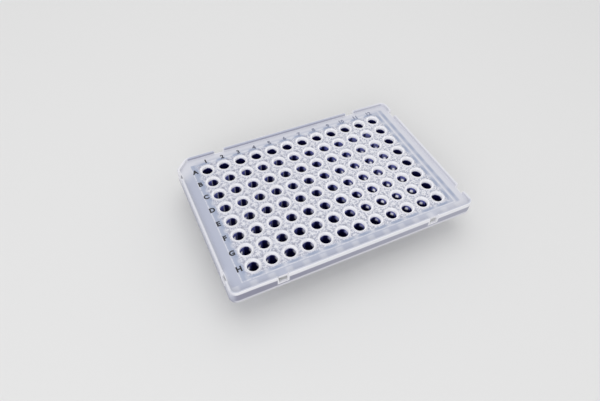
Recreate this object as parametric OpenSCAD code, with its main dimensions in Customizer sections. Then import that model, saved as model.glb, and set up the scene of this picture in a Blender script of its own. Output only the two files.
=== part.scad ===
// 96-well half-skirted PCR plate, moulded in one piece.
// Millimetres, +Z up. The origin is under the middle of the plate, level with the tips of the wells.
// Column 1 is at -X, row A is at +Y, and the cut corner is beside well A1.

/* [Plate] */
// Length at the skirt's lower edge, along a row of twelve wells
plate_l = 127.76; // [122:0.01:134]
// Width at the skirt's lower edge, along a column of eight wells
plate_w = 85.48; // [80:0.01:92]
// Height, from the tips of the wells to the top of the lip
plate_h = 20.7; // [17.5:0.1:24]
// Outside radius of the three round corners
corner_r = 3.7; // [2.2:0.1:6]
// How far the cut corner beside well A1 runs along each side
cut_leg = 6.1; // [4:0.1:7]
// Outside radius where the cut corner meets the two sides
cut_r = 3; // [2.2:0.1:4]

/* [Deck and lip] */
// Thickness of the deck that carries the wells
deck_t = 1.2; // [0.7:0.1:1.8]
// How far the lip round the plate stands above the deck
lip_rise = 1.6; // [0.8:0.1:2.4]
// Thickness of the lip
lip_t = 1.2; // [0.9:0.05:1.8]
// Bevel along the lip's top edges
lip_bevel = 0.2; // [0.05:0.05:0.4]

/* [Skirt] */
// Height of the outer wall, from the top of the lip to the skirt's lower edge
wall_h = 7.4; // [6:0.1:12]
// Thickness of the skirt
skirt_t = 1.1; // [0.6:0.05:1.2]
// How far the outer wall leans out, from the top of the lip to the skirt's lower edge
skirt_flare = 0.1; // [0:0.05:0.3]
// Height of the bead inside the skirt's lower edge
bead_h = 1.4; // [0.6:0.1:2]
// How far that bead stands in from the skirt
bead_t = 0.35; // [0.1:0.05:0.6]

/* [Gripper notches] */
// Distance from the middle to the notches in the front and back
notch_x = 39.7; // [20:0.1:50]
// Distance from the middle to the notches in the two ends
notch_y = 32; // [15:0.1:34]
// Width of a notch at the top of the lip
notch_top_w = 5; // [3:0.1:8]
// Width of a notch at its floor
notch_floor_w = 3.8; // [2:0.1:6]
// Height of a notch, from the top of the lip down to its floor
notch_h = 4.5; // [3:0.1:5.5]
// How far a notch reaches in from the outside of the lip
notch_in = 1.3; // [1.2:0.05:2]
// Radius of the lip's corners beside a notch
notch_round = 0.6; // [0.2:0.05:1]

/* [Wells] */
// Wells in a row
columns = 12; // [4:1:12]
// Wells in a column
rows = 8; // [2:1:8]
// Distance between the centres of neighbouring wells
pitch = 9; // [8:0.05:9.4]
// Inside diameter of a well's straight mouth
bore_d = 5.46; // [4.6:0.02:6]
// Wall thickness of the straight mouth
bore_wall = 0.45; // [0.3:0.05:0.7]
// Outside diameter of the raised rim round a mouth
rim_d = 7.2; // [6.9:0.05:7.8]
// How far the rim stands above the deck
rim_rise = 0.6; // [0.2:0.05:1]
// Width of the flat top of the rim
rim_land = 0.2; // [0.1:0.05:0.3]
// Angle between opposite sides of the cone
cone_angle = 17.5; // [15:0.5:22]
// Wall thickness of the cone
cone_wall = 0.35; // [0.25:0.05:0.6]
// Outside diameter at the lower end of the cone
tip_d = 2.7; // [2:0.1:3.4]
// Height of the rounded tip below the cone
tip_round = 0.55; // [0.3:0.05:0.9]
// Thickness of the floor at the bottom of a well
floor_t = 0.6; // [0.3:0.05:1]

/* [Ribs under the deck] */
// Depth of the ribs between the wells, below the deck
rib_depth = 2; // [1:0.1:4]
// Thickness of the ribs between the wells
rib_t = 0.8; // [0.5:0.05:1]
// Thickness of the frame rib round the wells
frame_t = 1; // [0.6:0.05:1.4]
// Distance from the outer columns' centres to the middle of the frame rib
frame_x = 7.5; // [6:0.1:8.5]
// Distance from the outer rows' centres to the middle of the frame rib
frame_y = 5.9; // [5:0.1:7]

/* [Hidden] */
$fn = 48;
// Facets of a bend in the outline, and of the lip's corner beside a notch
bend_steps = 10;
notch_steps = 4;
// How far a notch's cutter stands out of the wall that it cuts
notch_over = 1;

// Heights above the tips of the wells
deck_top = plate_h - lip_rise;
deck_under = deck_top - deck_t;
deck_mid = (deck_top + deck_under) / 2;
skirt_foot = plate_h - wall_h;
rim_top = deck_top + rim_rise;

// Radii of a well
bore_r = bore_d / 2;
collar_r = bore_r + bore_wall;
rim_r = rim_d / 2;
mouth_r = rim_r - rim_land;
tip_r = tip_d / 2;

// The cone's inner and outer faces lie side by side, cone_wall apart
cone_slope = tan(cone_angle / 2);
cone_gap = cone_wall / cos(cone_angle / 2);
inner_tip_r = tip_r - cone_gap;
inner_foot = tip_round + floor_t / 2;
bore_foot = inner_foot + (bore_r - inner_tip_r) / cone_slope;
collar_foot = tip_round + (collar_r - tip_r) / cone_slope;

// Half the distance between the outermost wells
field_x = pitch * (columns - 1) / 2;
field_y = pitch * (rows - 1) / 2;

// The plate's outline: each vertex has its place, its outside radius and the turn the wall makes there
outline = [
    [[-plate_l / 2, -plate_w / 2], corner_r, 90],
    [[plate_l / 2, -plate_w / 2], corner_r, 90],
    [[plate_l / 2, plate_w / 2], corner_r, 90],
    [[cut_leg - plate_l / 2, plate_w / 2], cut_r, 45],
    [[-plate_l / 2, plate_w / 2 - cut_leg], cut_r, 45]
];

// Length of the outline's side that a vertex's bend takes up
function bend_reach(v) = v[1] * tan(v[2] / 2);

// Direction of the side that runs from vertex u to vertex v
function side_angle(u, v) = atan2(v[0][1] - u[0][1], v[0][0] - u[0][0]);

// Centre of the bend at vertex v, which the side from vertex u runs into
function bend_centre(u, v) =
    let (a = side_angle(u, v))
    v[0] - bend_reach(v) * [cos(a), sin(a)] + v[1] * [-sin(a), cos(a)];

// The vertex before vertex i
function before(i) = outline[i == 0 ? len(outline) - 1 : i - 1];

// The outline moved in by inset, as a loop of points that starts with the bend at its first vertex
function outline_at(inset) = [
    for (i = [0:len(outline) - 1], k = [0:bend_steps])
        let (v = outline[i], a = side_angle(before(i), v) - 90 + v[2] * k / bend_steps)
        bend_centre(before(i), v) + (v[1] - inset) * [cos(a), sin(a)]
];

// Section of the outer wall: each point is its distance in from the outline and its height. The
// step between the skirt's inner face and the lip's lies inside the deck.
function wall_section() = [
    [0, skirt_foot],
    [skirt_t + bead_t, skirt_foot],
    [skirt_t + bead_t, skirt_foot + bead_h],
    [skirt_t, skirt_foot + bead_h + bead_t],
    [skirt_flare + skirt_t, deck_mid],
    [skirt_flare + lip_t, deck_mid + deck_t / 4],
    [skirt_flare + lip_t, plate_h - lip_bevel],
    [skirt_flare + lip_t - lip_bevel, plate_h],
    [skirt_flare + lip_bevel, plate_h],
    [skirt_flare, plate_h - lip_bevel]
];

// Lip and skirt: the section carried right round the outline as one closed skin
module outer_wall() {
    section = wall_section();
    m = len(section);
    n = len(outline_at(0));
    polyhedron(
        points = [for (p = section, q = outline_at(p[0])) [q[0], q[1], p[1]]],
        faces = [
            for (j = [0:m - 1], i = [0:n - 1])
                let (i2 = (i + 1) % n, j2 = (j + 1) % m)
                [j * n + i, j * n + i2, j2 * n + i2, j2 * n + i]
        ],
        convexity = 6
    );
}

// Places its children at the centre of every well
module each_well() {
    for (x = [-field_x:pitch:field_x + 0.01], y = [-field_y:pitch:field_y + 0.01])
        translate([x, y])
            children();
}

// Deck between the wells, with its edge buried in the outer wall and each hole's in a well's wall
module deck() {
    translate([0, 0, deck_under])
        linear_extrude(deck_t)
            difference() {
                polygon(outline_at(skirt_flare + skirt_t / 2));
                each_well()
                    circle(bore_r + bore_wall / 2);
            }
}

// One well, as the section of its wall turned round its axis
module well() {
    rotate_extrude()
        polygon([
            [0, 0],
            [tip_r - tip_round, 0],
            [tip_r, tip_round],
            [collar_r, collar_foot],
            [collar_r, deck_mid],
            [rim_r, deck_mid],
            [rim_r, rim_top],
            [mouth_r, rim_top],
            [bore_r, rim_top - mouth_r + bore_r],
            [bore_r, bore_foot],
            [inner_tip_r, inner_foot],
            [inner_tip_r - inner_foot + floor_t, floor_t],
            [0, floor_t]
        ]);
}

// Ribs under the deck: a frame round all the wells, and a bar between each two rows and columns
module ribs() {
    x = field_x + frame_x;
    y = field_y + frame_y;
    translate([0, 0, deck_under - rib_depth])
        linear_extrude(rib_depth + deck_t / 2) {
            difference() {
                square([2 * x + frame_t, 2 * y + frame_t], center = true);
                square([2 * x - frame_t, 2 * y - frame_t], center = true);
            }
            for (i = [1:columns - 1])
                translate([i * pitch - field_x - pitch / 2, 0])
                    square([rib_t, 2 * y], center = true);
            for (j = [1:rows - 1])
                translate([0, j * pitch - field_y - pitch / 2])
                    square([2 * x, rib_t], center = true);
        }
}

// One side of a notch's section: from its floor up to the arc that rounds the lip's corner, then on
// above the lip along the arc's last facet
function notch_side() =
    let (
        lean = atan2(notch_top_w - notch_floor_w, 2 * notch_h),
        reach = notch_round * tan(45 - lean / 2),
        centre = [notch_top_w / 2 + reach, plate_h - notch_round],
        arc = [
            for (k = [0:notch_steps])
                let (a = 180 - lean - (90 - lean) * k / notch_steps)
                centre + notch_round * [cos(a), sin(a)]
        ],
        end = arc[notch_steps] + 2 * (arc[notch_steps] - arc[notch_steps - 1])
    )
    concat(
        [[notch_floor_w / 2, plate_h - notch_h]],
        [for (k = [0:notch_steps - 1]) arc[k]],
        [end, [end[0], plate_h + notch_over]]
    );

// Notch cut in through the lip, the edge of the deck and the top of the skirt of one side
module notch() {
    side = notch_side();
    n = len(side);
    translate([0, -notch_over, 0])
        rotate([90, 0, 180])
            linear_extrude(skirt_flare + notch_in + notch_over)
                polygon(concat(side, [for (i = [n - 1:-1:0]) [-side[i][0], side[i][1]]]));
}

// Two notches in each side of the plate
module notches() {
    for (turn = [0, 180], s = [-1, 1]) {
        rotate([0, 0, turn])
            translate([s * notch_x, -plate_w / 2, 0])
                notch();
        rotate([0, 0, turn + 90])
            translate([s * notch_y, -plate_l / 2, 0])
                notch();
    }
}

// The whole moulding, in clear frosted polypropylene
module plate() {
    color([0.86, 0.88, 0.93]) {
        difference() {
            union() {
                outer_wall();
                deck();
                ribs();
            }
            notches();
        }
        each_well()
            well();
    }
}

plate();
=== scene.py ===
"""A 96-well half-skirted PCR plate: one frosted polypropylene moulding with its printed marks.

All lengths are in metres, in the frame of the packed part: +X runs along a row from column 1 to
column 12, +Y from row H to row A, and the floor is at z = 0, where the tips of the wells stand.
The materials work in millimetres and degrees.
"""

from functools import reduce
from math import cos, pi, radians, sin, sqrt, tan
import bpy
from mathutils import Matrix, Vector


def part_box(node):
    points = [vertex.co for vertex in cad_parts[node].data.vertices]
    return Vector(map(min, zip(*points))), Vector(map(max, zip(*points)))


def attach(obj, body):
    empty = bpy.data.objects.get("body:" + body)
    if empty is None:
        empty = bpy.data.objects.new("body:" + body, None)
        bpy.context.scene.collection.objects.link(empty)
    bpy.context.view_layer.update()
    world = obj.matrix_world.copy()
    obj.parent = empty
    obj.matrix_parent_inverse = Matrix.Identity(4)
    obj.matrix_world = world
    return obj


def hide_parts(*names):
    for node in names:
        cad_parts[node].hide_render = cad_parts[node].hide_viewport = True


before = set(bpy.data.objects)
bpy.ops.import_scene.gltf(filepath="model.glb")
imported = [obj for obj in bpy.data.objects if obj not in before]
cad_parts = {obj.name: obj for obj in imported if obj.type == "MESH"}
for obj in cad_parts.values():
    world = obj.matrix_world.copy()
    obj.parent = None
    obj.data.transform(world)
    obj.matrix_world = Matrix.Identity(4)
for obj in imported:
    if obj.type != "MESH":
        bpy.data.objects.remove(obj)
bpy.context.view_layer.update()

from types import SimpleNamespace

import bpy
import numpy as np
from mathutils import Vector

bl_info = {
    "name": "Half-skirted well plate",
    "version": (1, 0, 0),
    "blender": (4, 5, 0),
    "location": "3D View > Sidebar > Well plate",
    "description": "Builds a 96-well plate with its rims, ribs, notches and printed marks",
    "category": "Add Mesh",
}

MM = 0.001
NODE = "plate"
BODY = "root"

BEND_STEPS = 14         # facets in each bend of the outline
WELL_SEGMENTS = 36      # facets round each well
EDGE_STEPS = 5          # facets in a rounded edge of the lip
FILLET_STEPS = 4        # facets in the fillet where the lip rises from the deck
SMALL_STEPS = 3         # facets in the small arcs of the skirt's foot and the wells
FLOOR_STEPS = 2         # facets round the floor of a well
SINK = 0.01 * MM        # how far a fillet dips into the deck, so that it meets it at an edge
OVER = 1.0 * MM         # how far a cutter reaches past what it cuts
SHARP_ANGLE = 32        # degrees between two faces from which their edge is sharp

PLASTIC_ROUGHNESS = 0.34
INK_ROUGHNESS = 0.5
FLOOR_ROUGHNESS = 0.8
GRAIN_STRENGTH = 0.05   # bump of the frosted faces
GRAIN_DEPTH = 0.02 * MM
GLOW = 0.7              # strength of the painted glow, in place of light the clear plastic carries into the wells
MOUTH_GLOW = 0.3        # share of it that comes out in their mouths
STAR_RISE = 0.7         # how far behind the ribs' crossings their image in the deck lies, mm
GHOST_CENTRE = 85       # millimetres left of the middle, towards which row H's ends are drawn
GHOST_SQUEEZE = 0.0726  # share of the way there by which they are drawn
BACK_RIGHT = 45.0       # direction from a well's axis, in degrees from +X

BOLDER = 0.05           # how far a printed mark's outline is swollen, as a share of its size
CURVE_STEPS = 3         # facets in each curve of a printed mark

LENS = 28.496           # focal length and sensor width, mm
SENSOR = 36
CAMERA_PLACE = (-0.084976, -0.138839, 0.197740)
CAMERA_ANGLES = (40.03666, -2.14004, -25.39011)  # degrees about x, y and z
FLOOR_HALF = 1.2        # half the floor's side
SKY = 0.7               # strength of the grey light from all round
LAMPS = (               # name, place, the two sides and the power in watts
    ("overhead lamp", (0.05, 0.2, 0.8), 0.8, 0.8, 1.5),
    ("front lamp", (-0.55, -0.75, 0.45), 0.8, 0.5, 3.0))

LOW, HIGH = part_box(NODE)
LENGTH = HIGH.x - LOW.x
WIDTH = HIGH.y - LOW.y


def size(name, description, millimetres):
    """A length property with its default in millimetres, kept in metres."""
    return bpy.props.FloatProperty(
        name=name, description=description, default=millimetres * MM, unit="LENGTH", precision=5)


def colour(name, description, *display):
    """A colour property. Its default is given in sRGB values up to 255, and kept linear."""
    linear = [c / 255 / 12.92 if c <= 10 else ((c / 255 + 0.055) / 1.055) ** 2.4 for c in display]
    return bpy.props.FloatVectorProperty(
        name=name, description=description, default=linear, size=3, subtype="COLOR", min=0, max=1)


# ---- Properties ----

class PLATE_PG_wall(bpy.types.PropertyGroup):
    """Sizes of the lip, the deck and the skirt."""

    corner_r: size("Corner radius", "Outside radius of the three round corners", 3.7)
    cut_leg: size("Cut corner", "How far the cut corner beside well A1 runs along each side", 6.1)
    cut_r: size("Cut corner radius", "Outside radius where the cut corner meets the sides", 3.0)
    deck_t: size("Deck", "Thickness of the deck", 1.2)
    lip_rise: size("Lip rise", "How far the lip stands above the deck", 1.6)
    lip_t: size("Lip thickness", "Thickness of the lip", 1.2)
    wall_h: size("Wall height", "Height of the lip and skirt together", 7.4)
    skirt_t: size("Skirt thickness", "Thickness of the skirt", 1.1)
    skirt_flare: size("Flare", "How far the wall leans out towards its foot", 0.1)
    bead_h: size("Bead height", "Height of the bead inside the skirt's foot", 1.4)
    bead_t: size("Bead depth", "How far the bead stands in from the skirt", 0.35)
    edge_r: size("Edge radius", "Radius of the moulding's outer edges", 0.28)
    fillet_r: size("Fillet", "Radius where a wall rises from the deck", 0.3)


class PLATE_PG_wells(bpy.types.PropertyGroup):
    """Sizes of the wells and the ribs between them."""

    columns: bpy.props.IntProperty(
        name="Columns", description="Wells in a row", default=12, min=1, max=12)
    rows: bpy.props.IntProperty(
        name="Rows", description="Wells in a column", default=8, min=1, max=8)
    pitch: size("Pitch", "Distance between neighbouring wells", 9.0)
    bore_d: size("Bore", "Inside diameter of a well's straight mouth", 5.46)
    bore_wall: size("Bore wall", "Wall thickness of the straight mouth", 0.45)
    rim_d: size("Rim", "Outside diameter of the raised rim", 7.2)
    rim_rise: size("Rim rise", "How far the rim stands above the deck", 0.6)
    rim_land: size("Rim land", "Width of the flat top of the rim", 0.2)
    cone_angle: bpy.props.FloatProperty(
        name="Cone angle", description="Angle between opposite sides of the cone",
        default=radians(17.5), subtype="ANGLE")
    cone_wall: size("Cone wall", "Wall thickness of the cone", 0.35)
    tip_d: size("Tip", "Outside diameter at the lower end of the cone", 2.7)
    tip_round: size("Tip rounding", "Height of the rounded tip", 0.55)
    floor_t: size("Well floor", "Thickness of a well's floor", 0.6)
    rib_depth: size("Rib depth", "Depth of the ribs below the deck", 2.0)
    rib_t: size("Rib thickness", "Thickness of the ribs between the wells", 0.8)
    frame_t: size("Frame rib", "Thickness of the frame rib round the wells", 1.0)
    frame_x: size("Frame rib, ends", "From the outer columns to the frame rib", 7.5)
    frame_y: size("Frame rib, sides", "From the outer rows to the frame rib", 5.9)


class PLATE_PG_notches(bpy.types.PropertyGroup):
    """Sizes of the gripper notches."""

    along_x: size("Long sides", "From the middle to the notches in the long sides", 39.7)
    along_y: size("Short sides", "From the middle to the notches in the short sides", 32.0)
    top_w: size("Top width", "Width of a notch at the top of the lip", 5.0)
    floor_w: size("Floor width", "Width of a notch at its floor", 3.8)
    height: size("Height", "From the top of the lip to the notch's floor", 4.5)
    reach: size("Reach", "How far a notch reaches in from the outside of the lip", 1.3)
    corner_r: size("Corner radius", "Radius of the lip's corners beside a notch", 0.6)


class PLATE_PG_print(bpy.types.PropertyGroup):
    """Sizes and places of the printed letters and numbers."""

    letter_h: size("Letter height", "Height of the row letters", 2.95)
    letter_x: size("Letter place", "From the middle to the middle of the row letters", 55.7)
    number_h: size("Number height", "Height of the column numbers", 2.75)
    number_y: size("Number place", "From the middle to the middle of the column numbers", 37.9)
    letter_up: size("Letter rise", "How far letters stand behind their rows", 0.85)
    number_right: size("Number shift", "How far numbers stand right of their columns", 1.15)
    ink_t: size("Ink", "Thickness of the ink on the deck", 0.02)


class PLATE_PG_look(bpy.types.PropertyGroup):
    """Colours of the plate, its print and the stage."""

    # cool and pale are the deck's plastic without and with painted sheen: the border is cool along
    # the front and the left and pale along the back and the right. Pale also shows the ribs
    # through the deck
    cool: colour("Thin plastic", "Border of the deck along the front and the left", 181, 186, 204)
    pale: colour("Pale plastic", "Deck along the back and the right", 214, 215, 224)
    # Also the painted shadow in the strip beyond the right-hand frame rib
    clear: colour("Clear plastic", "Gutter round the wells and the strip beyond", 152, 163, 189)
    milky: colour("Milky plastic", "Rims, lip and cut edges", 233, 233, 238)
    # Also painted shade on the lip's inner faces and in the dips by the wells
    shade: colour("Skirt", "Skirt, inner faces of the lip, dips by the wells", 159, 160, 177)
    # Painted shade: the front's left end and the foot of the left-hand side of the skirt
    skirt_shade: colour("Dark skirt", "Darkest parts of the skirt", 132, 132, 152)
    # Painted shade: the dark inside of a well below its mouth
    well_shade: colour("Well lining", "Inside of a well below its mouth", 18, 18, 72)
    # Painted reflection of the neighbouring wells in a well's wall
    gleam: colour("Gleam", "Light in a well's wall, from its neighbours", 114, 120, 202)
    ink: colour("Ink", "Printed letters and the first numbers", 12, 10, 24)
    thin_ink: colour("Thin ink", "Numbers of the later columns", 140, 145, 168)
    floor: colour("Floor", "Plain floor and background", 230, 230, 230)


# ---- Surfaces ----

def new_object(name, data):
    """A new object in the scene."""
    made = bpy.data.objects.new(name, data)
    bpy.context.scene.collection.objects.link(made)
    return made


def worked_out(thing):
    """A new mesh of an object with its modifiers, or of a text, as it stands."""
    bpy.context.view_layer.update()
    evaluated = thing.evaluated_get(bpy.context.evaluated_depsgraph_get())
    return bpy.data.meshes.new_from_object(evaluated)


def build_object(name, points, faces):
    """Puts points (n, 3) and a list of face arrays, each (m, corners), into a new mesh object."""
    mesh = bpy.data.meshes.new(name)
    mesh.from_pydata(points, [], sum((block.tolist() for block in faces), []))
    mesh.validate()
    return new_object(name, mesh)


def arc(centre, radius, start, end, steps):
    """Points on an arc: the centre plus radius times (cos a, sin a), for angles a in degrees."""
    a = np.radians(np.linspace(start, end, steps + 1))
    return np.asarray(centre) + radius * np.stack([np.cos(a), np.sin(a)], 1)


def turned(profile, centres, segments):
    """A profile of (radius, height) points turned round an upright axis at each centre.

    A point is the centre plus radius times (cos a, sin a), at the profile's height, for evenly
    spaced angles a. The first and last profile points lie on the axis and are one vertex each.
    """
    r, z = np.asarray(profile).T
    a = np.linspace(0, 2 * pi, segments, endpoint=False)
    ring = np.stack([np.cos(a), np.sin(a)], 1)
    body = np.concatenate([
        r[1:-1, None, None] * ring,
        np.broadcast_to(z[1:-1, None, None], (len(r) - 2, segments, 1))], 2).reshape(-1, 3)
    one = np.concatenate([[[0, 0, z[0]]], body, [[0, 0, z[-1]]]])
    rows = len(r) - 2
    i = np.arange(rows - 1)[:, None] * segments
    j = np.arange(segments)
    k = (j + 1) % segments
    quads = 1 + np.stack([i + j, i + k, i + segments + k, i + segments + j], -1)
    foot = np.stack([np.zeros_like(j), 1 + k, 1 + j], 1)
    last = 1 + (rows - 1) * segments
    head = np.stack([np.full_like(j, len(one) - 1), last + j, last + k], 1)
    shift = np.concatenate([centres, np.zeros((len(centres), 1))], 1)
    points = (one + shift[:, None]).reshape(-1, 3)
    copy = np.arange(len(centres))[:, None, None] * len(one)
    return points, [
        (quads.reshape(-1, 4) + copy).reshape(-1, 4),
        (foot + copy).reshape(-1, 3),
        (head + copy).reshape(-1, 3)]


def swept(section, centre, radius, direction):
    """A closed section carried once round a closed outline, as one skin.

    A section point is a distance in from the outline and a height. Round the outline, the point
    is the bend's centre plus (radius minus that distance) times the direction out of the bend.
    """
    d, z = np.asarray(section).T
    plan = centre + (radius - d[:, None])[..., None] * direction
    points = np.concatenate([plan, np.broadcast_to(z[:, None, None], plan.shape[:2] + (1,))], 2)
    m, n = plan.shape[:2]
    i, j = np.arange(m)[:, None], np.arange(n)
    below, beside = (i + 1) % m, (j + 1) % n
    quads = np.stack([
        i * n + j, below * n + j, below * n + beside, i * n + beside], -1)
    return points.reshape(-1, 3), [quads.reshape(-1, 4)]


def prism(n):
    """Faces of a prism between two loops of n points: its sides, then its two ends."""
    j = np.arange(n)
    k = (j + 1) % n
    return [np.stack([j, k, n + k, n + j], 1), j[::-1][None], (n + j)[None]]


def levels(plan, low, high):
    """Plan points at a low height, followed by the same ones at a high one."""
    return np.concatenate([
        np.column_stack([plan, np.full(len(plan), z)]) for z in (low, high)])


def slab(loop, low, high):
    """A flat slab: one loop of plan points at two heights, with upright sides and two caps."""
    return levels(loop, low, high), prism(len(loop))


def lattice(xs, ys, solid, low, high):
    """Crossing bars: the cells of a plan grid that are solid, raised from low to high.

    xs and ys are the grid lines, and solid says which cells between them are filled. Each filled
    cell gives a top and a bottom face, and each edge between a filled and an empty cell gives an
    upright face.
    """
    ny = len(ys)
    up = len(xs) * ny
    plan = np.stack(np.meshgrid(xs, ys, indexing="ij"), -1).reshape(-1, 2)
    i, j = np.nonzero(solid)
    a, b, c, d = i * ny + j, (i + 1) * ny + j, (i + 1) * ny + j + 1, i * ny + j + 1
    faces = [np.stack([d, c, b, a], 1), up + np.stack([a, b, c, d], 1)]
    around = np.pad(solid, 1)
    for di, dj, p, q in ((0, -1, a, b), (1, 0, b, c), (0, 1, c, d), (-1, 0, d, a)):
        edge = ~around[i + 1 + di, j + 1 + dj]
        faces.append(np.stack([p, q, up + q, up + p], 1)[edge])
    return levels(plan, low, high), faces


def combine(target, tool, operation):
    """Joins the tool's solid to the target's, or cuts it away, and removes the tool."""
    cut = target.modifiers.new("combine", "BOOLEAN")
    cut.operation = operation
    cut.solver = "MANIFOLD"
    cut.object = tool
    mesh = worked_out(target)
    target.modifiers.clear()
    old = target.data
    target.data = mesh
    bpy.data.meshes.remove(old)
    bpy.data.objects.remove(tool)
    if not len(mesh.polygons):
        raise RuntimeError(f"{operation} left nothing of {target.name}")


# ---- The moulding ----

def heights(wall, wells):
    """Heights of the deck's top, underside and middle, the skirt's foot and the rims' tops."""
    top = HIGH.z - wall.lip_rise
    return SimpleNamespace(
        deck=top, under=top - wall.deck_t, middle=top - wall.deck_t / 2,
        foot=HIGH.z - wall.wall_h, rim=top + wells.rim_rise)


def outline(wall):
    """The plate's outline as its bends: their centres, radii and directions, point by point.

    A bend's centre lies back from its corner by the radius times the tangent of half the turn,
    along the side that runs into it, and in from that side by the radius.
    """
    x, y, leg = LENGTH / 2, WIDTH / 2, wall.cut_leg
    bends = [
        ((-x, -y), wall.corner_r, 180, 90),
        ((x, -y), wall.corner_r, 270, 90),
        ((x, y), wall.corner_r, 0, 90),
        ((leg - x, y), wall.cut_r, 90, 45),
        ((-x, y - leg), wall.cut_r, 135, 45),
    ]
    parts = []
    for corner, r, start, turn in bends:
        a = np.radians(np.linspace(start, start + turn, BEND_STEPS + 1))
        out = np.stack([np.cos(a), np.sin(a)], 1)
        along = out[0, ::-1] * (-1, 1)
        middle = np.array(corner) - r * tan(radians(turn / 2)) * along - r * out[0]
        parts.append((np.broadcast_to(middle, out.shape), np.full(len(a), r), out))
    return [np.concatenate(part) for part in zip(*parts)]


def wall_section(wall, h):
    """Section of the lip and skirt: distance in from the outline, and height."""
    e, f, foot_r = wall.edge_r, wall.fillet_r, wall.edge_r / 2
    bead, face = wall.skirt_t + wall.bead_t, wall.skirt_flare + wall.lip_t
    return np.concatenate([
        arc((foot_r, h.foot + foot_r), foot_r, 180, 270, SMALL_STEPS),
        arc((bead - foot_r, h.foot + foot_r), foot_r, 270, 360, SMALL_STEPS),
        [(bead, h.foot + wall.bead_h),
         (wall.skirt_t, h.foot + wall.bead_h + wall.bead_t),
         (wall.skirt_flare + wall.skirt_t, h.middle),
         (face + f, h.middle)],
        arc((face + f, h.deck + f - SINK), f, 270, 180, FILLET_STEPS),
        arc((face - e, HIGH.z - e), e, 0, 90, EDGE_STEPS),
        arc((wall.skirt_flare + e, HIGH.z - e), e, 90, 180, EDGE_STEPS)])


def well_lines(wells):
    """Places of the columns along x and of the rows along y, from column 1 and row A."""
    x = (np.arange(wells.columns) - (wells.columns - 1) / 2) * wells.pitch
    y = ((wells.rows - 1) / 2 - np.arange(wells.rows)) * wells.pitch
    return x, y


def well_radii(wells):
    """Radii and heights of a well, and its cone's slope, that both of its faces share."""
    slope = tan(wells.cone_angle / 2)
    bore, rim, tip = wells.bore_d / 2, wells.rim_d / 2, wells.tip_d / 2
    inner_tip = tip - wells.cone_wall / cos(wells.cone_angle / 2)
    inner_foot = wells.tip_round + wells.floor_t / 2
    return SimpleNamespace(
        slope=slope, bore=bore, collar=bore + wells.bore_wall, rim=rim,
        mouth=rim - wells.rim_land, tip=tip, inner_tip=inner_tip, inner_foot=inner_foot,
        bore_foot=inner_foot + (bore - inner_tip) / slope,
        collar_foot=wells.tip_round + (bore + wells.bore_wall - tip) / slope)


def well_outside(wall, wells, h):
    """Profile of a well's outside, from the tip's middle to the middle of the rim's top."""
    r = well_radii(wells)
    f, e = wall.fillet_r, wells.rim_land / 2
    t = wells.tip_round
    return np.concatenate([
        [(0, 0)],
        arc((r.tip - t, t), t, 270, 345, SMALL_STEPS),
        [(r.tip + SINK, t + SINK),
         (r.collar, r.collar_foot),
         (r.collar, h.middle),
         (r.rim + f, h.middle)],
        arc((r.rim + f, h.deck + f - SINK), f, 270, 180, SMALL_STEPS),
        arc((r.rim - e, h.rim - e), e, 0, 90, SMALL_STEPS),
        [(0, h.rim)]])


def well_inside(wells, h):
    """Profile of a well's inside, from the middle of its floor to above its mouth.

    Two short facets soften the bend where the bevel of the mouth begins.
    """
    r = well_radii(wells)
    lead = r.mouth - r.bore
    soft = lead / 3
    t = r.inner_foot - wells.floor_t
    return np.concatenate([
        [(0, wells.floor_t)],
        arc((r.inner_tip - t, wells.floor_t + t), t, 270, 345, FLOOR_STEPS),
        [(r.inner_tip, r.inner_foot),
         (r.bore, r.bore_foot),
         (r.bore, h.rim - lead - soft),
         (r.bore + soft * 0.3, h.rim - lead),
         (r.bore + soft, h.rim - lead + soft * 0.9),
         (r.mouth, h.rim),
         (r.mouth + OVER / 2, h.rim + OVER),
         (0, h.rim + OVER)]])


def rib_plan(wells):
    """Grid lines and filled cells of the ribs: a frame round the wells, a bar on each midline."""
    lines, inside = [], []
    for count, reach in ((wells.columns, wells.frame_x), (wells.rows, wells.frame_y)):
        middle = (np.arange(1, count) - count / 2) * wells.pitch
        edge = (count - 1) / 2 * wells.pitch + reach
        half = wells.frame_t / 2
        bars = np.stack([middle - wells.rib_t / 2, middle + wells.rib_t / 2], 1).ravel()
        ends = np.array([-half, half])
        lines.append(np.concatenate([ends - edge, bars, ends + edge]))
        inside.append(np.arange(len(lines[-1]) - 1) % 2 == 0)
    return lines[0], lines[1], inside[0][:, None] | inside[1][None, :]


def notch_cutters(flare, cut):
    """The eight notches' hollows, as one mesh: a flared outline carried in through the wall.

    The outline is flat at the floor, leans out to the top of the lip and turns out there on an
    arc, so the lip's corners beside it are round.
    """
    r, top = cut.corner_r, HIGH.z
    side = cut.top_w / 2 + r
    lean = np.degrees(np.arctan2((cut.top_w - cut.floor_w) / 2, cut.height))
    half = np.concatenate([
        [(-cut.floor_w / 2, top - cut.height)],
        arc((-side, top - r), r, -lean, 90, EDGE_STEPS)[:-1],
        [(-side, top - SINK / 10), (-side - OVER, top + OVER)]])
    ring = np.concatenate([half, half[::-1] * (-1, 1)])
    n = len(ring)
    points, faces = [], []
    for turn in range(4):
        out, along = ((WIDTH / 2, cut.along_x), (LENGTH / 2, cut.along_y))[turn % 2]
        c, s = cos(radians(90 * turn)), sin(radians(90 * turn))
        for shift in (along, -along):
            local = np.concatenate([
                np.column_stack([ring[:, 0] + shift, np.full(n, y), ring[:, 1]])
                for y in (-out - OVER, -out + flare + cut.reach)])
            faces.append([len(points) * 2 * n + face for face in prism(n)])
            points.append(local @ np.array([[c, s, 0], [-s, c, 0], [0, 0, 1]]))
    return np.concatenate(points), [np.concatenate(face) for face in zip(*faces)]


# ---- Materials ----
#
# The numbers in deck_colour, wall_colour and the colour of the wells' inside say where a part of
# the
# pattern fades in: in millimetres from an edge, a rib, a well's axis or the plate's middle, in
# degrees round a well, or in columns and rows. A last number below 1 is the part's strength.

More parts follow.
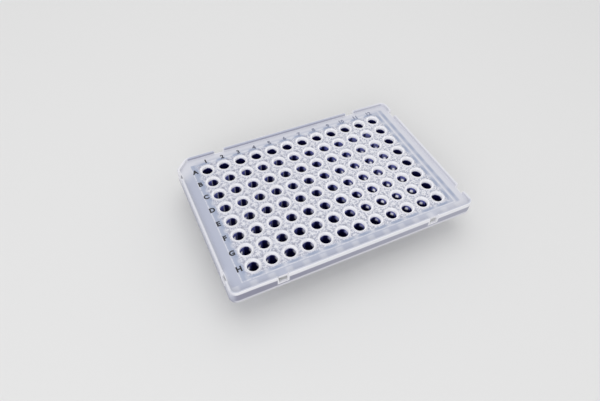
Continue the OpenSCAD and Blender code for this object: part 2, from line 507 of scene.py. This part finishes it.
class Graph:
    """Short ways to add nodes to a material's or a group's tree."""

    def __init__(self, tree):
        self.tree = tree

    def node(self, kind, **settings):
        """A node with its settings."""
        made = self.tree.nodes.new(kind)
        for key, value in settings.items():
            setattr(made, key, value)
        return made

    def feed(self, socket, value):
        """Links a socket to another, or sets its value."""
        if isinstance(value, bpy.types.NodeSocket):
            self.tree.links.new(value, socket)
        else:
            socket.default_value = value

    def feeds(self, inputs, values):
        """Links or sets inputs by their names."""
        for name, value in values.items():
            self.feed(inputs[name], value)

    def maths(self, operation, *values):
        """The result of a Math node."""
        made = self.node("ShaderNodeMath", operation=operation)
        for socket, value in zip(made.inputs, values):
            self.feed(socket, value)
        return made.outputs[0]

    def times(self, *values):
        """The product of all the values."""
        return reduce(lambda a, b: self.maths("MULTIPLY", a, b), values)

    def most(self, *values):
        """The largest of the values."""
        return reduce(lambda a, b: self.maths("MAXIMUM", a, b), values)

    def plus(self, start, share, value):
        """start plus share times value."""
        return self.maths("MULTIPLY_ADD", value, share, start)

    def minus(self, first, second):
        """first minus second."""
        return self.maths("SUBTRACT", first, second)

    def apart(self, value, centre):
        """How far value is from centre, either way."""
        return self.maths("ABSOLUTE", self.minus(value, centre))

    def fade(self, value, start, end, most=1.0):
        """0 where value is at start and most where it is at end, smooth between."""
        made = self.node("ShaderNodeMapRange", interpolation_type="SMOOTHSTEP", clamp=True)
        self.feeds(made.inputs, {
            "Value": value, "From Min": start, "From Max": end, "To Max": most})
        return made.outputs["Result"]

    def band(self, value, centre, outer, inner, most=1.0):
        """0 where value is over outer from centre and most within inner of it, smooth between."""
        return self.fade(self.apart(value, centre), outer, inner, most)

    def mix(self, share, first, second):
        """The first colour, blended with the second by share."""
        made = self.node("ShaderNodeMix", data_type="RGBA")
        self.feed(made.inputs["Factor"], share)
        for name, given in (("A", first), ("B", second)):
            socket = [i for i in made.inputs if i.name == name and i.type == "RGBA"][0]
            plain = not isinstance(given, bpy.types.NodeSocket)
            self.feed(socket, (*given, 1) if plain else given)
        return [o for o in made.outputs if o.type == "RGBA"][0]

    def tools(self):
        """The ways above to combine values and colours."""
        return (
            self.maths, self.times, self.most, self.plus, self.minus, self.fade, self.band,
            self.mix)

    def parts(self, vector):
        """The x, y and z of a vector."""
        made = self.node("ShaderNodeSeparateXYZ")
        self.feed(made.inputs[0], vector)
        return made.outputs


def new_group(name, scales, outputs):
    """A shader node group fed with a place in millimetres; returns its graph and its sockets.

    scales gives its further inputs by name, with their defaults, and outputs names its outputs.
    """
    tree = bpy.data.node_groups.new(name, "ShaderNodeTree")
    tree.interface.new_socket("Vector", in_out="INPUT", socket_type="NodeSocketVector")
    for label, value in scales.items():
        made = tree.interface.new_socket(label, in_out="INPUT", socket_type="NodeSocketFloat")
        made.default_value = value
    for label in outputs:
        tree.interface.new_socket(label, in_out="OUTPUT", socket_type="NodeSocketFloat")
    graph = Graph(tree)
    return graph, graph.node("NodeGroupInput").outputs, graph.node("NodeGroupOutput").inputs


def well_place_group(wells):
    """How far a point is from the nearest well's axis, and how far east and north of it.

    That well's column is the distance from the field's left edge over the pitch, rounded down and
    kept among the columns. Its row is found alike, and counts from the front. Both start at 0.
    """
    graph, given, out = new_group("nearest well", {}, ("Radius", "East", "North", "Column", "Row"))
    maths, minus, pitch = graph.maths, graph.minus, wells.pitch / MM
    x, y, _ = graph.parts(given["Vector"])
    squares = []
    for value, count, offset, index in (
            (x, wells.columns, "East", "Column"), (y, wells.rows, "North", "Row")):
        start = -count * pitch / 2
        step = maths("FLOOR", maths("DIVIDE", minus(value, start), pitch))
        step = maths("MINIMUM", graph.most(step, 0), count - 1)
        local = minus(value, graph.plus(start + pitch / 2, pitch, step))
        squares.append(graph.times(local, local))
        graph.feed(out[offset], local)
        graph.feed(out[index], step)
    graph.feed(out["Radius"], maths("SQRT", maths("ADD", *squares)))


def inset_group(wall):
    """How far in from the plate's outline, and from the cut corner's side alone, a point lies.

    With q as the point's distances past the straight parts of the two sides that meet in a round
    corner of radius r, the inset is r minus the length of q's positive part, minus its larger
    component if both are negative. Near the cut corner it is the distance to the cut, where that
    is less.
    """
    graph, given, out = new_group("inset", {}, ("Inset", "Cut"))
    maths, most, minus = graph.maths, graph.most, graph.minus
    x, y, _ = graph.parts(given["Vector"])
    r = wall.corner_r / MM
    past = [minus(maths("ABSOLUTE", value), whole / 2 / MM - r)
            for value, whole in ((x, LENGTH), (y, WIDTH))]
    squares = [maths("POWER", most(value, 0), 2) for value in past]
    corner = minus(r, maths("SQRT", maths("ADD", *squares)))
    box = minus(corner, maths("MINIMUM", most(*past), 0))
    reach = (LENGTH / 2 + WIDTH / 2 - wall.cut_leg) / MM
    cut = maths("DIVIDE", minus(reach, minus(y, x)), sqrt(2))
    graph.feed(out["Inset"], maths("MINIMUM", box, cut))
    graph.feed(out["Cut"], cut)


def haze_group():
    """Cloudiness of the plastic, unevenness of its lines and dips, and grain of frosted faces.

    Each goes from 0 to 1. It is a noise of so many features per millimetre, stretched between two
    of its values.
    """
    graph, given, out = new_group(
        "haze and grain", {"Cloud Scale": 1.1, "Speck Scale": 0.9, "Grain Scale": 5.0},
        ("Cloud", "Speck", "Grain"))
    for name, detail, low, high in (
            ("Cloud", 1.0, 0.4, 0.6), ("Speck", 2.0, 0.3, 0.55), ("Grain", 2.0, 0.0, 1.0)):
        noise = graph.node("ShaderNodeTexNoise")
        graph.feeds(noise.inputs, {
            "Vector": given["Vector"], "Scale": given[name + " Scale"], "Detail": detail})
        graph.feed(out[name], graph.fade(noise.outputs["Fac"], low, high))


def use_group(graph, name, place):
    """Places a node group, fed with a place in millimetres, and returns its outputs."""
    made = graph.node("ShaderNodeGroup", node_tree=bpy.data.node_groups[name])
    graph.feed(made.inputs["Vector"], place)
    return made.outputs


def new_material(name, roughness):
    """A material with a Principled shader; returns it with its graph and the shader's inputs."""
    made = bpy.data.materials.new(name)
    made.use_nodes = True
    made.node_tree.nodes.clear()
    graph = Graph(made.node_tree)
    shader = graph.node("ShaderNodeBsdfPrincipled")
    output = graph.node("ShaderNodeOutputMaterial")
    graph.feed(output.inputs["Surface"], shader.outputs[0])
    shader.inputs["Roughness"].default_value = roughness
    return made, graph, shader.inputs


def in_millimetres(graph):
    """Object coordinates in millimetres."""
    made = graph.node("ShaderNodeVectorMath", operation="SCALE")
    place = graph.node("ShaderNodeTexCoord").outputs["Object"]
    graph.feeds(made.inputs, {"Vector": place, "Scale": 1 / MM})
    return made.outputs[0]


def deck_colour(graph, scene, place, well, inset, haze):
    """The deck: a cool thin border with painted sheen, and a mottled field of wells.

    The painted sheen makes the border paler at the back and right.
    """
    wells, look = scene.plate_wells, scene.plate_look
    maths, times, most, plus, minus, fade, band, mix = graph.tools()
    x, y, _ = graph.parts(place)
    radius, east, north = well["Radius"], well["East"], well["North"]
    beyond_x, beyond_y = maths("ABSOLUTE", x), maths("ABSOLUTE", y)
    half, pitch = wells.pitch / 2 / MM, wells.pitch / MM
    field_x, field_y = (wells.columns - 1) * half, (wells.rows - 1) * half
    frame_x, frame_y = field_x + wells.frame_x / MM, field_y + wells.frame_y / MM
    rim, half_l = wells.rim_d / 2 / MM, LENGTH / 2 / MM

    # Border: painted sheen, paler towards the back and the right; paler towards the cut corner;
    # and painted light close to the left-hand lip, which lifts the shade beside it
    border = mix(most(
        fade(x, frame_x - 0.2, frame_x + 1.5), fade(y, frame_y - 1, frame_y + 2.2),
        fade(x, 15, 66, 0.75), fade(x, 3 - half_l, 1.2 - half_l, 0.5),
        fade(inset["Cut"], 11, 4)), look.cool, look.pale)

    # Tapered ends of the front row's wells, which show through the deck in front of them. The
    # step is 0.5 in line with each of them
    spread = maths("DIVIDE", maths("ADD", x, GHOST_CENTRE * GHOST_SQUEEZE), 1 - GHOST_SQUEEZE)
    step = maths("FRACT", maths("ADD", maths("DIVIDE", spread, pitch), wells.columns * 1.5))
    ghost = times(band(step, 0.5, 0.3, 0.08), fade(y, -frame_y - 0.5, -frame_y - 1, 0.36))
    border = mix(ghost, border, look.milky)

    # Gutter between the wells and the frame rib: cooler still, with a pale flare where each bar
    # runs out and far from the wells, but faint and even along the left-hand end
    off_x, off_y = (graph.apart(half, maths("ABSOLUTE", value)) for value in (east, north))
    out_x, out_y = minus(beyond_x, field_x), minus(beyond_y, field_y)
    outside = most(out_x, out_y)
    flare = most(*(times(fade(off, 2, 0.3), fade(out, 0.5, 0))
                   for off, out in ((off_x, out_x), (off_y, out_y))))
    flare = most(times(flare, 0.75), fade(radius, 5, 6.4, 0.5))
    flare = most(
        times(flare, fade(x, 1 - frame_x, 3.2 - frame_x)),
        fade(x, 2.4 - frame_x, 1.2 - frame_x, 0.22))
    gutter = mix(flare, look.clear, look.pale)
    # Strip beyond the right-hand frame rib: painted shadow behind the rib, darker beside the wells
    strip = times(
        band(x, frame_x + 1, 1.4, 0.4), fade(beyond_y, frame_y + 1, frame_y - 0.5),
        plus(0.56, 0.28, fade(off_y, 0.5, 3)))
    border = mix(strip, border, look.clear)

    # Edge of the gutter: a pale uneven line, and pale dashes between the columns at the back
    edge = most(minus(0.22 - frame_x, x), minus(x, frame_x - 1), minus(beyond_y, frame_y))
    border = mix(fade(edge, 0.1, -0.3), border, gutter)
    line = times(
        band(edge, 0, 0.55, 0.1, 0.5), fade(y, frame_y - 2, frame_y - 4),
        most(haze["Speck"], fade(x, 3 - frame_x, 7 - frame_x, 0.6)))
    rear = times(
        band(y, frame_y - 0.5, 1.1, 0.2, 0.5), fade(off_x, 3, 1.5), fade(out_x, 0.5, 0))
    border = mix(most(line, rear), border, look.milky)

    # Field: mottled, its pale end turning milky towards the right as painted sheen, with a cool
    # dip of painted shade beside each well on its diagonals and a white star between four wells.
    # The dips at a well's back right are stronger and further out
    lean = fade(maths("ADD", east, north), -5, 6.5)
    dip = times(
        band(off_x, off_y, 1.5, 0.4), band(plus(radius, -0.6, lean), rim + 0.5, 0.95, 0.1),
        plus(0.75, 0.6, lean), plus(0.5, 0.5, haze["Speck"]), fade(x, 110, -55))
    field = mix(
        haze["Cloud"], mix(fade(x, -110, 80), look.pale, look.milky),
        mix(0.4, look.cool, look.shade))
    field = mix(dip, field, look.shade)
    risen = maths("MINIMUM", *(graph.apart(north, STAR_RISE + side) for side in (half, -half)))
    star = fade(maths("ADD", maths("SQRT", off_x), maths("SQRT", risen)), 2, 0.8, 0.8)
    field = mix(times(star, fade(outside, 0.5, 0)), field, look.milky)
    tone = mix(fade(outside, 5.1, 3.4), border, field)

    # Milky ring round each well, a little darker in painted shade along the back of the left-hand
    # rims
    back = times(
        fade(north, 1.5, 3), fade(radius, rim + 0.2, rim - 0.1), fade(x, 20, -45, 0.6))
    return mix(fade(radius, rim + 0.65, rim - 0.05), tone, mix(back, look.milky, look.pale))


def wall_colour(graph, scene, h, place, inset, inner):
    """Colour of the lip and the skirt over the colour of the deck inside them."""
    look, notches = scene.plate_look, scene.plate_notches
    maths, times, most, plus, minus, fade, band, mix = graph.tools()
    x, y, z = graph.parts(place)
    inwards, cut = inset["Inset"], inset["Cut"]
    half_l, half_w = LENGTH / 2 / MM, WIDTH / 2 / MM
    top, deck, under, foot = (value / MM for value in (HIGH.z, h.deck, h.under, h.foot))

    # Inner face of the lip in painted shade, lighter towards the right as painted light and
    # milky along the cut corner; then its top: cooler along the back, and towards the deck along
    # the front
    right = fade(x, half_l - 4, half_l - 2)
    face = mix(most(right, fade(x, 15, 58, 0.6)), look.shade, look.pale)
    face = mix(fade(cut, 1.75, 1.45), face, look.milky)
    on_lip = times(fade(z, deck + 0.25, deck + 0.45), fade(inwards, 1.9, 1.6))
    tone = mix(on_lip, inner, face)
    back = times(fade(y, half_w - 4, half_w - 2), fade(cut, 0.6, 2.2), fade(x, 80, 20, 0.95))
    front = times(fade(y, 4 - half_w, 2 - half_w), plus(0.55, 0.25, fade(inwards, 0.3, 1.4)))
    cooler = most(back, front, fade(cut, 2, 6, 0.22))
    tone = mix(fade(z, top - 0.35, top - 0.15), tone, mix(cooler, look.milky, look.cool))

    # Outer face: milky along the lip and the bead, and cool between them, darker at the front's
    # left end in painted shade. The left-hand side is plain and darkens towards its foot in
    # painted shade
    stripe = minus(z, fade(x, -32, -55, 0.9))
    stripe = fade(stripe, under + 0.1, under + 0.9)
    bead = times(fade(z, foot + 2, foot + 1.2), 0.65)
    middle = mix(fade(x, 35, -60, 0.9), look.shade, look.skirt_shade)
    outer = mix(most(stripe, bead), middle, look.milky)
    upper = mix(fade(z, foot + 3, top + 1), mix(0.3, look.cool, look.shade), look.pale)
    plain = mix(fade(z, foot - 0.5, foot + 3.5), look.skirt_shade, upper)
    outer = mix(fade(x, 3 - half_l, 0.4 - half_l), outer, plain)
    tone = mix(fade(inwards, 0.6, 0.4), tone, outer)

    # Cut edges of the notches catch the light, as a painted highlight
    in_x, in_y = maths("ABSOLUTE", x), maths("ABSOLUTE", y)
    beside = most(*(
        times(band(value, centre / MM, 3.2, 2.4), fade(minus(side, other), 1.7, 1.5))
        for value, centre, side, other in (
            (in_x, notches.along_x, half_w, in_y), (in_y, notches.along_y, half_l, in_x))))
    floor = top - notches.height / MM
    return mix(times(beside, fade(z, floor - 0.9, floor - 0.3)), tone, look.milky)


def well_shade_colour(graph, scene, depth, well):
    """Inside of the wells; returns its colour, its painted highlights and its mouth's painted
    glow.

    Below the milky mouth the wall is dark with painted shade, and carries a gleam, a painted
    reflection of the neighbouring wells. The gleam lies on the back left in the left-hand columns
    and on the right in the right-hand ones. The back row and the last column have no wells behind
    them, and no gleam. The depth is counted from the rim's top.
    """
    look = scene.plate_look
    maths, times, most, plus, minus, fade, band, mix = graph.tools()
    column, row = well["Column"], well["Row"]
    last = scene.plate_wells.rows - 1
    around = maths("DEGREES", maths("ARCTAN2", well["North"], well["East"]))

    def spot(angle, down, wide, tall):
        """A soft patch of the wall, wide degrees and tall millimetres each way from its middle."""
        return times(band(around, angle, wide, wide * 0.3), band(depth, down, tall, tall * 0.3))

    lit = times(fade(row, last, last - 0.5), fade(column, 10.8, 10.2))
    leftward = fade(column, 6.5, 2.5)
    frontward = fade(row, 3, 0)

    # Only the upper part of the gleam on the left is there past the left-hand columns
    left = times(
        fade(around, 79, 98), fade(around, 178, 150),
        most(leftward, fade(depth, 4.1, 3.3)), fade(row, -2.5, 2))

    # The gleam on the right swings back by 5 degrees a column, and the nearer the front its row
    # is, the higher up it ends
    sunk = plus(depth, -0.5, row)
    swung = plus(around, -5, column)
    right = times(
        fade(swung, -50, -30), fade(swung, 28, 6),
        most(fade(column, 4, 8.5), times(fade(column, 0.5, 6), fade(depth, 4.8, 3.4))),
        fade(sunk, 4.6, 3.6))
    # Painted reflection of the neighbouring wells over the painted shade
    dark = mix(times(most(left, right), lit), look.well_shade, look.gleam)

    # Painted highlights: a streak where the gleam on the left ends, a patch low down on the left
    # or the right, a crescent on the right and a faint shine over the gleams of the last columns
    streak = times(band(around, 88, 7.5, 2, 0.16), leftward, fade(row, 1, 4.5))
    low_left = times(
        spot(124, 5.6, 24, 1.7), fade(column, 3.2, 1.5), fade(row, last - 3, last - 4, 0.6))
    early = fade(column, 10, 7)
    low_right = times(
        spot(plus(plus(32, 18, frontward), -12, early),
             plus(plus(5, -0.9, frontward), -0.6, early), 22, 1.2),
        fade(column, 5, 8.5, 0.9), fade(row, last - 0.5, last - 3), fade(row, -1.5, 1))
    crescent = times(
        fade(around, 44, 17), fade(swung, -35, -8), fade(sunk, 4.5, 3.1),
        plus(0.3, -0.035, row), fade(column, 7.5, 4))
    shine = times(right, fade(column, 7, 11, 0.05), fade(row, 1, 4))
    painted_highlights = times(most(streak, crescent, low_left, low_right, shine), lit)
    dark = mix(painted_highlights, dark, look.milky)

    # The milky mouth, above the painted shade, reaches less far down at the back right of the
    # left-hand columns and the front rows, and a little further at the back of the others
    level = maths("ADD", depth, times(band(around, 55, 42, 12, 0.34), fade(column, 12, 2)))
    level = maths("ADD", level, times(band(around, BACK_RIGHT, 70, 40, 0.1), frontward))
    level = minus(level, times(
        band(around, 108, 30, 10, 0.15), fade(column, 3, 7), fade(row, 1, 3)))
    # A band of painted reflection just below the milky mouth
    dark = mix(fade(level, 2.6, 2.2, 0.8), dark, look.gleam)

    # Painted glow of the mouth: its bevel glows more on the front left, which faces away from the
    # front lamp
    away = times(fade(graph.apart(around, BACK_RIGHT), 40, 120), plus(1.8, -0.7, leftward))
    bevel = times(fade(depth, 0.9, 0.5), minus(away, 0.8))
    mouth = times(fade(level, 2.25, 1.95, MOUTH_GLOW), maths("ADD", bevel, 1))
    return mix(fade(level, 2.3, 1.9), dark, look.milky), painted_highlights, mouth


def polypropylene(scene, h):
    """Frosted polypropylene: milky where it is thick, cooler where thin, dark inside the wells.

    The dark inside the wells is painted shade; the deck and the walls also carry painted light and
    shade, and the wells' mouths a painted glow.
    """
    wells, look = scene.plate_wells, scene.plate_look
    r = well_radii(wells)
    made, graph, inputs = new_material("frosted polypropylene", PLASTIC_ROUGHNESS)
    maths, times = graph.maths, graph.times
    place = in_millimetres(graph)
    _, _, z = graph.parts(place)
    well, inset, haze = (
        use_group(graph, name, place) for name in ("nearest well", "inset", "haze and grain"))
    body = deck_colour(graph, scene, place, well, inset, haze)
    body = wall_colour(graph, scene, h, place, inset, body)

    # A well's inside is everything nearer its axis than the middle of its wall, and above the
    # middle of its floor
    start = (r.tip + r.inner_tip) / 2 - wells.tip_round * r.slope
    middle = graph.plus(start / MM, r.slope, z)
    middle = maths("MINIMUM", middle, (r.bore + r.collar) / 2 / MM)
    within = times(
        maths("LESS_THAN", well["Radius"], middle),
        maths("GREATER_THAN", z, wells.floor_t / 2 / MM))
    # The wells' inside in painted shade, with painted highlights and the painted glow of its mouth
    well_shade, painted_highlights, mouth = well_shade_colour(graph, scene, graph.minus(h.rim / MM, z), well)

    # Painted glow over the mouths and the painted highlights, standing in for light that the
    # clear plastic carries into the wells
    over_mouth = graph.fade(well["Radius"], r.rim / MM, r.rim / MM - 0.5)
    glow = graph.most(times(over_mouth, mouth), times(within, painted_highlights))

    bump = graph.node("ShaderNodeBump")
    graph.feeds(bump.inputs, {
        "Strength": GRAIN_STRENGTH, "Distance": GRAIN_DEPTH, "Height": haze["Grain"]})
    graph.feeds(inputs, {
        "Base Color": graph.mix(within, body, well_shade),
        "Emission Color": graph.mix(glow, (0, 0, 0), look.milky),
        "Emission Strength": GLOW, "Normal": bump.outputs["Normal"]})
    return made


def ink(look):
    """Black printing ink, which turns thin and grey along the numbers of the later columns.

    The numbers stand over 35 mm behind the plate's middle, and the letters under 34 mm.
    """
    made, graph, inputs = new_material("printing ink", INK_ROUGHNESS)
    x, y, _ = graph.parts(in_millimetres(graph))
    thin = graph.times(graph.fade(x, -52, 10, 0.9), graph.fade(y, 34, 35))
    graph.feed(inputs["Base Color"], graph.mix(thin, look.ink, look.thin_ink))
    return made


def floor_material(look):
    """Plain pale floor."""
    made, _, inputs = new_material("pale floor", FLOOR_ROUGHNESS)
    inputs["Base Color"].default_value = (*look.floor, 1)
    return made


# ---- Operators ----

def finish_piece(piece, material):
    """Gives a piece its material, smooth faces, sharp edges and body, and hides the CAD part."""
    piece.data.materials.clear()
    piece.data.materials.append(material)
    faces = piece.data.polygons
    faces.foreach_set("material_index", np.zeros(len(faces), np.int32))
    piece.data.shade_smooth()
    piece.data.set_sharp_from_angle(angle=radians(SHARP_ANGLE))
    piece.modifiers.new("even shading", "WEIGHTED_NORMAL").keep_sharp = True
    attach(piece, BODY)
    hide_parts(NODE)


class PLATE_OT_moulding(bpy.types.Operator):
    """Builds the one-piece moulding: lip, skirt, deck, ribs and wells, with the notches cut out"""

    bl_idname = "well_plate.moulding"
    bl_label = "Moulding"

    def execute(self, context):
        scene = context.scene
        wall, wells = scene.plate_wall, scene.plate_wells
        h = heights(wall, wells)
        centre, radius, direction = bends = outline(wall)
        edge = centre + (radius - wall.skirt_flare - wall.skirt_t / 2)[:, None] * direction
        places = np.stack(np.meshgrid(*well_lines(wells)), -1).reshape(-1, 2)
        outside, inside = well_outside(wall, wells, h), well_inside(wells, h)
        piece = build_object("plate_moulding", *swept(wall_section(wall, h), *bends))
        for name, operation, shape in (
                ("deck", "UNION", slab(edge, h.under, h.deck)),
                ("ribs", "UNION", lattice(
                    *rib_plan(wells), h.under - wells.rib_depth, h.middle)),
                ("wells", "UNION", turned(outside, places, WELL_SEGMENTS)),
                ("hollows", "DIFFERENCE", turned(inside, places, WELL_SEGMENTS)),
                ("notches", "DIFFERENCE", notch_cutters(wall.skirt_flare, scene.plate_notches))):
            combine(piece, build_object(name, *shape), operation)
        finish_piece(piece, polypropylene(scene, h))
        return {"FINISHED"}


class PLATE_OT_print(bpy.types.Operator):
    """Prints the row letters and column numbers on the deck"""

    bl_idname = "well_plate.print"
    bl_label = "Letters and numbers"

    def execute(self, context):
        scene = context.scene
        wells, marks = scene.plate_wells, scene.plate_print
        deck = heights(scene.plate_wall, wells).deck
        columns, rows = well_lines(wells)
        labels = [
            (chr(ord("A") + i), -marks.letter_x, y + marks.letter_up, marks.letter_h)
            for i, y in enumerate(rows)]
        labels += [
            (str(i + 1), x + marks.number_right, marks.number_y, marks.number_h)
            for i, x in enumerate(columns)]
        parts = [
            self.label(text, (x, y, deck), tall, marks.ink_t) for text, x, y, tall in labels]
        with context.temp_override(active_object=parts[0], selected_editable_objects=parts):
            bpy.ops.object.join()
        piece = parts[0]
        piece.name = piece.data.name = "printed_marks"
        finish_piece(piece, ink(scene.plate_look))
        return {"FINISHED"}

    def label(self, text, place, tall, thick):
        """One printed mark as a thin closed mesh, centred on its place and tall high."""
        curve = bpy.data.curves.new(text, "FONT")
        curve.body = text
        curve.align_x, curve.align_y = "CENTER", "CENTER"
        curve.extrude = 0.5
        curve.offset = BOLDER
        curve.resolution_u = CURVE_STEPS
        source = new_object(text, curve)
        mesh = worked_out(source)
        bpy.data.objects.remove(source)
        co = np.zeros(len(mesh.vertices) * 3, np.float32)
        mesh.vertices.foreach_get("co", co)
        co = co.reshape(-1, 3)
        low, high = co.min(0), co.max(0)
        co -= (low + high) / 2
        scale = tall / (high[1] - low[1])
        co *= (scale, scale, thick)
        mesh.vertices.foreach_set("co", (co + place).ravel())
        return new_object("mark_" + text, mesh)


class PLATE_OT_stage(bpy.types.Operator):
    """Adds the pale floor, the soft lamps, the plain background and the camera"""

    bl_idname = "well_plate.stage"
    bl_label = "Stage"

    def execute(self, context):
        scene = context.scene
        self.camera(scene)
        self.floor(scene.plate_look)
        self.lamps()
        self.background(scene)
        scene.view_settings.view_transform = "Standard"
        return {"FINISHED"}

    def camera(self, scene):
        """The camera looks down on the plate from beyond its front left corner."""
        data = bpy.data.cameras.new("camera")
        data.sensor_fit = "HORIZONTAL"
        data.sensor_width = SENSOR
        data.lens = LENS
        data.clip_start = 0.01
        scene.camera = new_object("camera", data)
        scene.camera.location = CAMERA_PLACE
        scene.camera.rotation_euler = [radians(angle) for angle in CAMERA_ANGLES]

    def floor(self, look):
        """A flat square under the plate."""
        points = [(x * FLOOR_HALF, y * FLOOR_HALF, LOW.z)
                  for x, y in ((-1, -1), (1, -1), (1, 1), (-1, 1))]
        made = build_object("floor", points, [np.array([[0, 1, 2, 3]])])
        made.data.materials.append(floor_material(look))

    def lamps(self):
        """A wide soft lamp overhead and one beyond the front left corner, facing the origin."""
        for name, place, *sides, watts in LAMPS:
            data = bpy.data.lights.new(name, "AREA")
            data.shape = "RECTANGLE"
            data.size, data.size_y = sides
            data.energy = watts
            made = new_object(name, data)
            made.location = place
            made.rotation_euler = Vector(place).to_track_quat("Z", "Y").to_euler()

    def background(self, scene):
        """An even pale background to the camera, and soft grey light on the plate."""
        world = bpy.data.worlds.new("background")
        world.use_nodes = True
        world.node_tree.nodes.clear()
        graph = Graph(world.node_tree)
        path = graph.node("ShaderNodeLightPath").outputs
        seen = graph.most(
            path["Is Camera Ray"], path["Is Glossy Ray"], path["Is Transmission Ray"])
        both = graph.node("ShaderNodeMixShader")
        graph.feed(both.inputs[0], seen)
        for slot, tone, strength in ((1, (1, 1, 1), SKY), (2, scene.plate_look.floor, 1)):
            light = graph.node("ShaderNodeBackground")
            graph.feeds(light.inputs, {"Color": (*tone, 1), "Strength": strength})
            graph.feed(both.inputs[slot], light.outputs[0])
        graph.feed(graph.node("ShaderNodeOutputWorld").inputs["Surface"], both.outputs[0])
        scene.world = world


class PLATE_PT_sidebar(bpy.types.Panel):
    """Lists the plate's sizes and the steps that build it."""

    bl_idname = "PLATE_PT_sidebar"
    bl_label = "Well plate"
    bl_space_type = "VIEW_3D"
    bl_region_type = "UI"
    bl_category = "Well plate"

    def draw(self, context):
        for operator in OPERATORS:
            self.layout.operator(operator.bl_idname)
        for name, group in GROUPS.items():
            box = self.layout.box()
            box.label(text=group.__doc__)
            for key in group.__annotations__:
                box.prop(getattr(context.scene, name), key)


GROUPS = {
    "plate_wall": PLATE_PG_wall,
    "plate_wells": PLATE_PG_wells,
    "plate_notches": PLATE_PG_notches,
    "plate_print": PLATE_PG_print,
    "plate_look": PLATE_PG_look,
}
OPERATORS = (PLATE_OT_stage, PLATE_OT_moulding, PLATE_OT_print)
CLASSES = (*GROUPS.values(), *OPERATORS, PLATE_PT_sidebar)


def register():
    """Adds the classes and the scene's property groups."""
    for made in CLASSES:
        bpy.utils.register_class(made)
    for name, group in GROUPS.items():
        setattr(bpy.types.Scene, name, bpy.props.PointerProperty(type=group))


def unregister():
    """Takes them away again."""
    for name in GROUPS:
        delattr(bpy.types.Scene, name)
    for made in reversed(CLASSES):
        bpy.utils.unregister_class(made)


def main():
    """Builds the plate and its stage."""
    register()
    well_place_group(bpy.context.scene.plate_wells)
    inset_group(bpy.context.scene.plate_wall)
    haze_group()
    bpy.ops.well_plate.stage()
    bpy.ops.well_plate.moulding()
    bpy.ops.well_plate.print()


if __name__ == "__main__":
    main()
